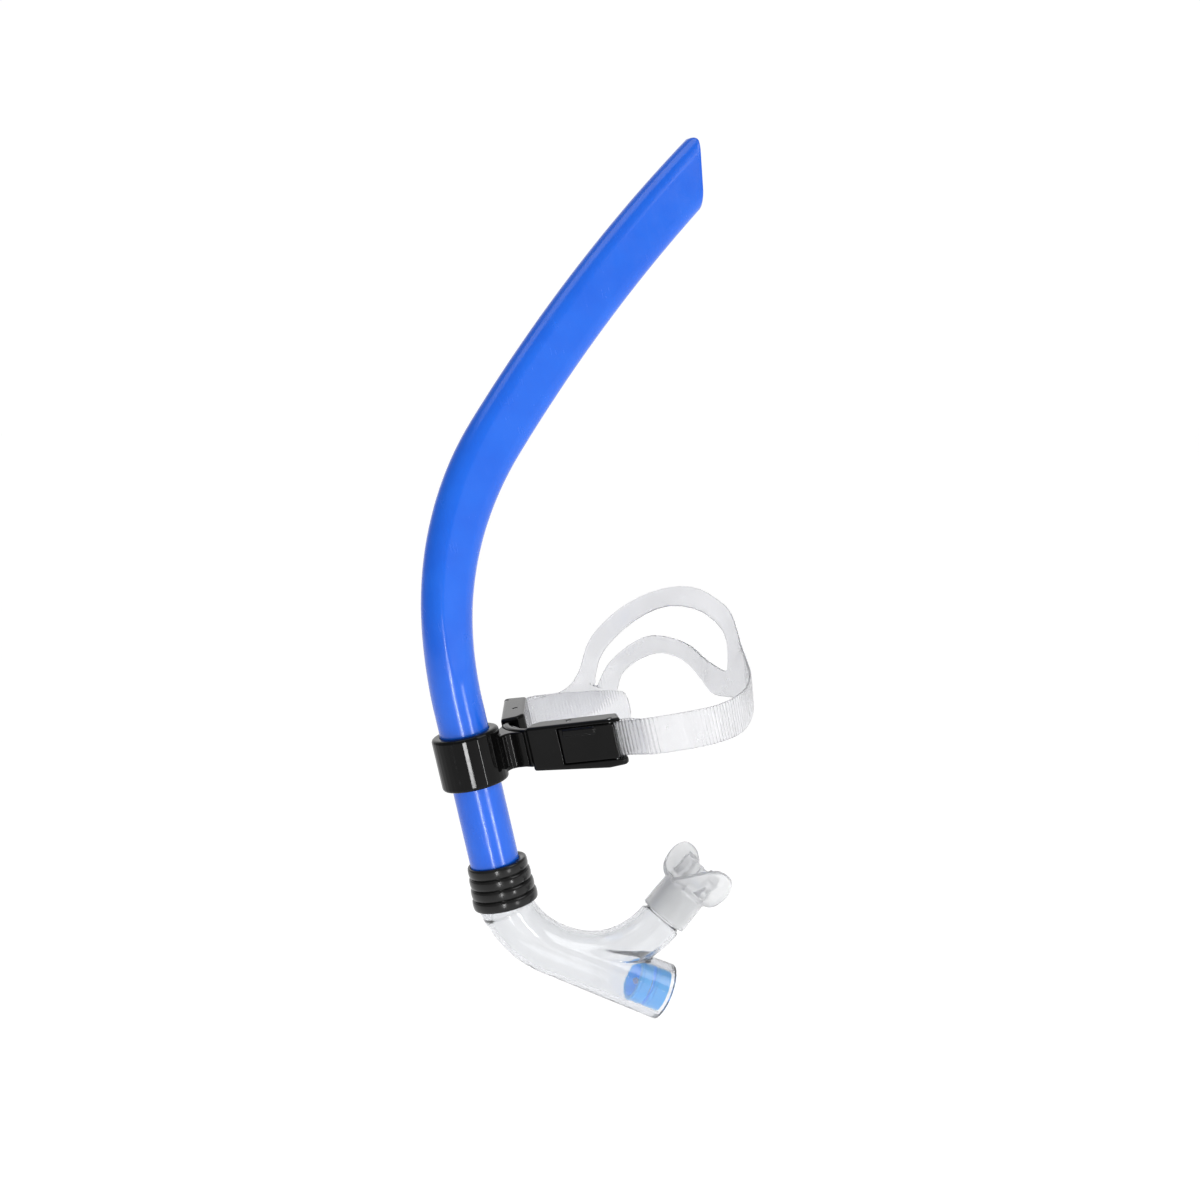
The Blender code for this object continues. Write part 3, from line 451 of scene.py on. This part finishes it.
def lower_radius(heading, index, last):
    if heading > 166.0:
        return SPIGOT_RADIUS
    if index >= last - 6:
        return NECK_RADIUS
    return LOWER_RADIUS + (MOUTH_RADIUS - LOWER_RADIUS) * smooth_step((130 - heading) / 45)


def build_lower_tube():
    path = lower_path((3, 88, 6))
    last = len(path) - 1
    points = [(x, 0, z) for (x, z), _, _ in path]
    radii = [lower_radius(heading, i, last) for i, (_, heading, _) in enumerate(path)]
    tail = Vector(points[-1]) + (Vector(points[-1]) - Vector(points[-2])) * 0.8
    bore_points = [(0, 0, SPIGOT_TOP + 0.005)] + points[1:-1] + [tuple(tail)]
    branch = moved(rod(LOWER_RADIUS - 0.0001, -0.001, PURGE_LENGTH, PURGE_RADIUS), purge_matrix())
    hollow = rod(LOWER_RADIUS - LOWER_WALL, 0.001, PURGE_LENGTH + 0.002, PURGE_BORE)
    collar = rod(COLLAR_RADIUS, *COLLAR_SPAN, LOWER_RADIUS)
    body = joined(pipe(points, radii), branch, collar)
    body = cut(body, pipe(bore_points, [radius - LOWER_WALL for radius in radii]))
    body = cut(body, moved(hollow, purge_matrix()))
    return moved(softened(body, LOWER_VOXEL, 6), mouth_end_matrix())


def flange_outline(angle):
    """The lip flange's reach from its centre: a rounded oblong, pinched above and below."""
    c, s = abs(math.cos(angle)), abs(math.sin(angle))
    wide, high = (c / FLANGE_HALF_WIDTH) ** FLANGE_POWER, (s / FLANGE_HALF_HEIGHT) ** FLANGE_POWER
    reach = (wide + high) ** (-1 / FLANGE_POWER)
    return reach * (1 - FLANGE_PINCH * s ** 10)


def lip_flange():
    """The thin shield behind the lips, wrapped round the teeth, with a thicker rolled rim."""
    count = FLANGE_COLUMNS
    levels = [0.04] + [0.96 * (i + 1) / FLANGE_ROWS + 0.04 for i in range(FLANGE_ROWS)]
    front, back = [], []
    for level in levels:
        for i in range(count):
            angle = 2 * math.pi * i / count
            reach = (flange_outline(angle) - 0.0006) * level
            y, x = reach * math.cos(angle), reach * math.sin(angle)
            out = abs(y) / FLANGE_HALF_WIDTH
            z = FLANGE_WRAP * out ** WRAP_POWER
            slope = FLANGE_WRAP * WRAP_POWER / FLANGE_HALF_WIDTH * out ** (WRAP_POWER - 1)
            normal = Vector((0, -math.copysign(slope, y), 1)).normalized()
            rim = 0.5 * FLANGE_THICKNESS * (1 + 0.25 * smooth_step((level - 0.86) / 0.14))
            front.append(Vector((x, y, z)) + normal * rim)
            back.append(Vector((x, y, z)) - normal * rim)
    faces = []
    total = len(levels) * count
    for base in (0, total):
        for r in range(len(levels) - 1):
            for i in range(count):
                j = (i + 1) % count
                faces.append((base + r * count + i, base + r * count + j,
                              base + (r + 1) * count + j, base + (r + 1) * count + i))
        faces.append(tuple(base + i for i in range(count)))
    outer = (len(levels) - 1) * count
    faces += [(outer + i, outer + (i + 1) % count, total + outer + (i + 1) % count, total + outer + i)
              for i in range(count)]
    return new_mesh(front + back, faces)


def bite_tab(side):
    """A plate that stands in from the flange, and the lug at its root."""
    plate = block((-0.0017, 0.0115, FLANGE_AT + 0.0015), (0.0017, 0.0205, FLANGE_AT + 0.0160))
    lug = block((-0.0060, 0.0100, FLANGE_AT - 0.0010), (0.0060, 0.0124, FLANGE_AT + 0.0142))
    tab = joined(plate, lug)
    if side < 0:
        tab.transform(Matrix.Scale(-1, 4, (0, 1, 0)))
    return outward(tab)


def build_mouthpiece():
    """The silicone sleeve, its bore, the lip flange and the two bite tabs."""
    outline = [(0.0101, -SLEEVE_LENGTH), (0.0118, -SLEEVE_LENGTH), (SLEEVE_RADIUS, -SLEEVE_LENGTH + 0.0006),
               (0.0121, -0.006), (0.0119, FLANGE_AT - 0.0016), (0.0121, FLANGE_AT - 0.0004),
               (0.0115, FLANGE_AT + 0.0007), (PIECE_BORE, FLANGE_AT + 0.0007), (PIECE_BORE, 0.0004),
               (0.0099, 0.0004), (0.0099, -SLEEVE_LENGTH + 0.0004)]
    body = joined(moved(lip_flange(), Matrix.Translation((0, 0, FLANGE_AT))), bite_tab(1), bite_tab(-1))
    body = cut(body, rod(PIECE_BORE + 0.001, -0.001, 0.024))
    body = joined(body, turned(outline))
    place = mouth_end_matrix() @ neck_matrix() @ Matrix.Rotation(math.radians(PIECE_TURN), 4, "Z")
    return moved(softened(body, PIECE_VOXEL, 8), place)


def build_strap():
    """The CAD strap's sheet, smoothed, remeshed and ridged crosswise near its buckles."""
    mesh = baked(cad_mesh("head_strap"), ("SUBSURF", {"levels": 2, "render_levels": 2}))
    mesh = softened(mesh, STRAP_VOXEL, 6)
    count = len(mesh.vertices)
    place = np.empty(count * 3)
    normal = np.empty(count * 3)
    mesh.vertices.foreach_get("co", place)
    mesh.vertex_normals.foreach_get("vector", normal)
    place, normal = place.reshape(-1, 3), normal.reshape(-1, 3)
    away = place[:, :2] - HEAD_CENTRE
    angle = np.arctan2(away[:, 1], away[:, 0])
    wave = 0.5 + 0.5 * np.sin(angle * HEAD_RADIUS / RIDGE_PITCH * 2 * math.pi)
    # The ridges fade out away from the near buckle and from the far tail.
    near = np.clip((-0.018 - place[:, 1]) / 0.012, 0, 1) * np.clip((0.112 - place[:, 0]) / 0.03, 0, 1)
    tail = np.clip((place[:, 1] - 0.040) / 0.004, 0, 1) * np.clip((0.012 - place[:, 2]) / 0.006, 0, 1)
    level = np.hypot(normal[:, 0], normal[:, 1])
    depth = -RIDGE_DEPTH * wave * np.maximum(near, tail) * level
    mesh.vertices.foreach_set("co", (place + normal * depth[:, None]).ravel())
    mesh.update()
    return mesh


# ---------------------------------------------------------------- materials

class Nodes:
    """Short calls for building a material's nodes."""

    def __init__(self, name):
        self.material = bpy.data.materials.new(name)
        self.material.use_nodes = True
        self.tree = self.material.node_tree
        self.shader = self.tree.nodes["Principled BSDF"]
        place = self.tree.nodes.new("ShaderNodeTexCoord")
        self.place = place.outputs["Object"]

    def link(self, value, socket):
        if isinstance(value, bpy.types.NodeSocket):
            self.tree.links.new(value, socket)
        else:
            socket.default_value = value

    def stretched(self, scale, turn=(0, 0, 0)):
        node = self.tree.nodes.new("ShaderNodeMapping")
        node.inputs["Scale"].default_value = scale
        node.inputs["Rotation"].default_value = turn
        self.link(self.place, node.inputs["Vector"])
        return node.outputs["Vector"]

    def noise(self, scale, detail=4.0, rough=0.5, vector=None):
        node = self.tree.nodes.new("ShaderNodeTexNoise")
        node.inputs["Scale"].default_value = scale
        node.inputs["Detail"].default_value = detail
        node.inputs["Roughness"].default_value = rough
        self.link(vector or self.place, node.inputs["Vector"])
        return node.outputs["Fac"]

    def ramp(self, value, low, high, out_low=0.0, out_high=1.0):
        node = self.tree.nodes.new("ShaderNodeMapRange")
        node.clamp = True
        for socket, number in zip(node.inputs[1:5], (low, high, out_low, out_high)):
            socket.default_value = number
        self.link(value, node.inputs["Value"])
        return node.outputs["Result"]

    def math(self, operation, a, b):
        node = self.tree.nodes.new("ShaderNodeMath")
        node.operation = operation
        self.link(a, node.inputs[0])
        self.link(b, node.inputs[1])
        return node.outputs[0]

    def mix(self, share, a, b):
        node = self.tree.nodes.new("ShaderNodeMix")
        node.data_type = "RGBA"
        self.link(share, node.inputs[0])
        self.link((*a, 1.0) if isinstance(a, tuple) else a, node.inputs[6])
        self.link((*b, 1.0) if isinstance(b, tuple) else b, node.inputs[7])
        return node.outputs[2]

    def edges(self):
        """High on outer edges and corners, low in hollows."""
        node = self.tree.nodes.new("ShaderNodeNewGeometry")
        return node.outputs["Pointiness"]

    def scratches(self, turn, scale=900.0, cut=0.60):
        """Thin, short hairlines along one direction."""
        streak = self.noise(1.0, 2.0, 0.5, self.stretched((scale, scale * 0.03, scale * 0.06), turn))
        return self.ramp(streak, cut, cut + 0.06)

    def bump(self, height, depth, below=None, strength=1.0):
        node = self.tree.nodes.new("ShaderNodeBump")
        node.inputs["Strength"].default_value = strength
        node.inputs["Distance"].default_value = depth
        self.link(height, node.inputs["Height"])
        if below is not None:
            self.link(below, node.inputs["Normal"])
        return node.outputs["Normal"]

    def absorb(self, colour, density):
        node = self.tree.nodes.new("ShaderNodeVolumeAbsorption")
        node.inputs["Color"].default_value = (*colour, 1.0)
        node.inputs["Density"].default_value = density
        self.tree.links.new(node.outputs[0], self.tree.nodes["Material Output"].inputs["Volume"])

    def set(self, **values):
        for key, value in values.items():
            socket = self.shader.inputs[key.replace("_", " ")]
            self.link((*value, 1.0) if isinstance(value, tuple) else value, socket)
        return self.material


def plastic(name, dark, light, rough, wear, grain=0.000004, smudged=0.12, gloss=0.5, glow=0.0):
    """A moulded plastic: slow colour drift, faint orange peel, hairlines, paler worn edges and an optional
    glow that is painted light.
    """
    n = Nodes(name)
    drift = n.ramp(n.noise(38.0, 3.0), 0.35, 0.65)
    colour = n.mix(drift, dark, light)
    lines = n.math("MAXIMUM", n.scratches((0.3, 0.2, 0.9)), n.scratches((1.1, 0.7, -0.5), 700.0, 0.63))
    edge = n.ramp(n.edges(), 0.54, 0.62)
    worn = n.math("MULTIPLY", edge, n.ramp(n.noise(420.0, 3.0), 0.45, 0.62))
    colour = n.mix(n.math("MULTIPLY", worn, 0.22), colour, wear)
    colour = n.mix(n.math("MULTIPLY", lines, 0.010), colour, wear)
    smudge = n.ramp(n.noise(95.0, 5.0, 0.6), 0.42, 0.70, 0.0, smudged)
    roughness = n.math("ADD", n.math("ADD", smudge, rough), n.math("MULTIPLY", lines, 0.03))
    peel = n.bump(n.noise(650.0, 2.0), grain)
    normal = n.bump(lines, -0.0000015, peel, 0.3)
    return n.set(Base_Color=colour, Roughness=roughness, Normal=normal, Specular_IOR_Level=gloss,
                 Emission_Color=light, Emission_Strength=glow)


def rubber(name):
    """A smooth black rubber with a little dust."""
    n = Nodes(name)
    dust = n.ramp(n.noise(160.0, 5.0, 0.65), 0.50, 0.75)
    colour = n.mix(n.math("MULTIPLY", dust, 0.25), (0.003, 0.003, 0.003), (0.018, 0.018, 0.019))
    grain = n.bump(n.noise(2600.0, 2.0), 0.000012)
    normal = n.bump(n.noise(210.0, 3.0), 0.00003, grain)
    roughness = n.ramp(n.noise(120.0, 4.0), 0.35, 0.70, 0.15, 0.28)
    return n.set(Base_Color=colour, Roughness=roughness, Normal=normal, Specular_IOR_Level=0.35)


def clear(name, tint, rough_low, rough_high, ior, transmission, ripple, grain, density):
    """A clear moulding: faint flow lines, slightly uneven walls, fingerprints and hairlines."""
    n = Nodes(name)
    flow = n.noise(1.0, 3.0, 0.6, n.stretched((130.0, 130.0, 34.0)))
    lines = n.scratches((0.4, 0.9, 0.2), 800.0, 0.62)
    smear = n.ramp(n.noise(80.0, 5.0, 0.6), 0.45, 0.72)
    roughness = n.ramp(smear, 0.0, 1.0, rough_low, rough_high)
    roughness = n.math("ADD", roughness, n.math("MULTIPLY", lines, 0.03))
    paler = tuple(min(c * 1.04, 1.0) for c in tint)
    colour = n.mix(n.ramp(flow, 0.3, 0.7), tint, paler)
    waves = n.bump(flow, ripple)
    fine = n.bump(n.noise(1400.0, 2.0), grain, waves)
    n.absorb((0.79, 0.80, 0.83), density)
    return n.set(Base_Color=colour, Roughness=roughness, Normal=fine, IOR=ior,
                 Transmission_Weight=transmission)


def steel(name):
    """Drawn steel wire, faintly stained."""
    n = Nodes(name)
    drawn = n.noise(1.0, 2.0, 0.5, n.stretched((2600.0, 2600.0, 60.0)))
    stain = n.ramp(n.noise(500.0, 4.0), 0.5, 0.75)
    colour = n.mix(n.math("MULTIPLY", stain, 0.5), (0.62, 0.63, 0.64), (0.34, 0.33, 0.31))
    roughness = n.ramp(drawn, 0.3, 0.7, 0.16, 0.34)
    return n.set(Base_Color=colour, Roughness=roughness, Normal=n.bump(drawn, 0.000004), Metallic=1.0)


# ---------------------------------------------------------------- light and camera

def area_light(name, place, aim, size, power):
    data = bpy.data.lights.new(name, "AREA")
    data.shape = "RECTANGLE"
    data.size, data.size_y = size
    data.energy = power
    ob = bpy.data.objects.new(name, data)
    bpy.context.scene.collection.objects.link(ob)
    ob.location = place
    ob.rotation_euler = (Vector(aim) - Vector(place)).to_track_quat("-Z", "Y").to_euler()


def build_world():
    """A soft studio: white behind the object, dimmer to its sides, overhead and before it."""
    world = bpy.data.worlds.new("studio")
    bpy.context.scene.world = world
    world.use_nodes = True
    tree = world.node_tree
    place = tree.nodes.new("ShaderNodeTexCoord")
    dot = tree.nodes.new("ShaderNodeVectorMath")
    dot.operation = "DOT_PRODUCT"
    dot.inputs[1].default_value = WORLD_BEHIND
    tree.links.new(place.outputs["Generated"], dot.inputs[0])
    facing = tree.nodes.new("ShaderNodeMath")
    facing.operation = "MULTIPLY_ADD"
    facing.inputs[1].default_value = 0.5
    facing.inputs[2].default_value = 0.5
    tree.links.new(dot.outputs["Value"], facing.inputs[0])
    ramp = tree.nodes.new("ShaderNodeValToRGB")
    for element, (position, value) in zip(ramp.color_ramp.elements, WORLD_ENDS):
        element.position = position
        element.color = (value, value, value, 1)
    for position, value in WORLD_STOPS:
        element = ramp.color_ramp.elements.new(position)
        element.color = (value, value, value, 1)
    tree.links.new(facing.outputs[0], ramp.inputs["Fac"])
    back = tree.nodes["Background"]
    tree.links.new(ramp.outputs["Color"], back.inputs["Color"])
    back.inputs["Strength"].default_value = WORLD_STRENGTH


def build_floor():
    """A pale paper floor, well below the object, that glows enough to be white."""
    mesh = bpy.data.meshes.new("floor")
    corners = [(x * FLOOR_HALF_SIZE, y * FLOOR_HALF_SIZE, FLOOR_LEVEL)
               for x, y in ((-1, -1), (1, -1), (1, 1), (-1, 1))]
    mesh.from_pydata(corners, [], [(0, 1, 2, 3)])
    n = Nodes("floor_paper")
    shade = n.ramp(n.noise(3.0, 3.0), 0.3, 0.7, 0.0, 1.0)
    mesh.materials.append(n.set(Base_Color=n.mix(shade, (0.40, 0.40, 0.40), (0.42, 0.42, 0.42)),
                                Roughness=0.9, Emission_Color=(1.0, 1.0, 1.0),
                                Emission_Strength=FLOOR_GLOW))
    ob = bpy.data.objects.new("floor", mesh)
    bpy.context.scene.collection.objects.link(ob)


def build_camera():
    data = bpy.data.cameras.new("camera")
    data.lens = CAMERA_LENS
    data.sensor_width = 36
    data.clip_start = 0.01
    data.clip_end = 50
    place = Vector(CAMERA_PLACE)
    view = (Vector(CAMERA_AIM) - place).normalized()
    level = view.cross(Vector((0, 0, 1))).normalized()
    upright = level.cross(view)
    roll = math.radians(CAMERA_ROLL)
    right = math.cos(roll) * level - math.sin(roll) * upright
    up = math.sin(roll) * level + math.cos(roll) * upright
    matrix = Matrix((right, up, -view)).transposed().to_4x4()
    matrix.translation = place
    ob = bpy.data.objects.new("camera", data)
    bpy.context.scene.collection.objects.link(ob)
    ob.matrix_world = matrix
    bpy.context.scene.camera = ob


# ---------------------------------------------------------------- assembly

def build_materials():
    # The valve's glow stands in for the light that comes through its thin plastic.
    return {
        "blue": plastic("gloss_blue_plastic", (0.003, 0.108, 0.68), (0.005, 0.128, 0.73), 0.18,
                        (0.10, 0.30, 0.95), smudged=0.10),
        "valve_blue": plastic("valve_blue_plastic", (0.04, 0.42, 1.0), (0.07, 0.48, 1.0), 0.28,
                              (0.50, 0.75, 0.98), glow=0.22),
        "black": plastic("gloss_black_plastic", (0.002, 0.002, 0.002), (0.004, 0.004, 0.004), 0.07,
                         (0.03, 0.03, 0.032), 0.000005, 0.08, 0.16),
        "rubber": rubber("coupling_rubber"),
        "hard_clear": clear("clear_moulded_plastic", (0.95, 0.955, 0.96), 0.05, 0.13, 1.50, 0.94,
                            0.00022, 0.000004, 140),
        "silicone": clear("clear_mouth_silicone", (0.88, 0.885, 0.89), 0.14, 0.30, 1.41, 0.66,
                          0.00020, 0.000008, 80),
        "strap": clear("clear_strap_silicone", (0.84, 0.842, 0.86), 0.14, 0.30, 1.41, 0.86,
                       0.00025, 0.000010, 30),
        "steel": steel("drawn_steel"),
    }


def build():
    looks = build_materials()
    show("blue_tube", build_tube(), looks["blue"], "tube", "tube_blue", "main_tube")
    show("coupling_sleeve", build_coupling(), looks["rubber"], "tube", "black_rubber", "ribbed_coupling")
    show("clear_lower_tube", build_lower_tube(), looks["hard_clear"], "mouth_end", "clear_plastic",
         "lower_tube")
    show("silicone_mouthpiece", build_mouthpiece(), looks["silicone"], "mouthpiece", "clear_silicone",
         "mouthpiece")
    show("silicone_strap", build_strap(), looks["strap"], "bracket", "clear_silicone", "head_strap")
    for name, node, voxel, rounds, look, body, slot in ROUNDED:
        show(name, softened(cad_mesh(node), voxel, rounds), looks[look], body, slot, node)
    build_world()
    build_floor()
    for light in LIGHTS:
        area_light(*light)
    build_camera()
    bpy.context.scene.view_settings.view_transform = "Standard"


build()
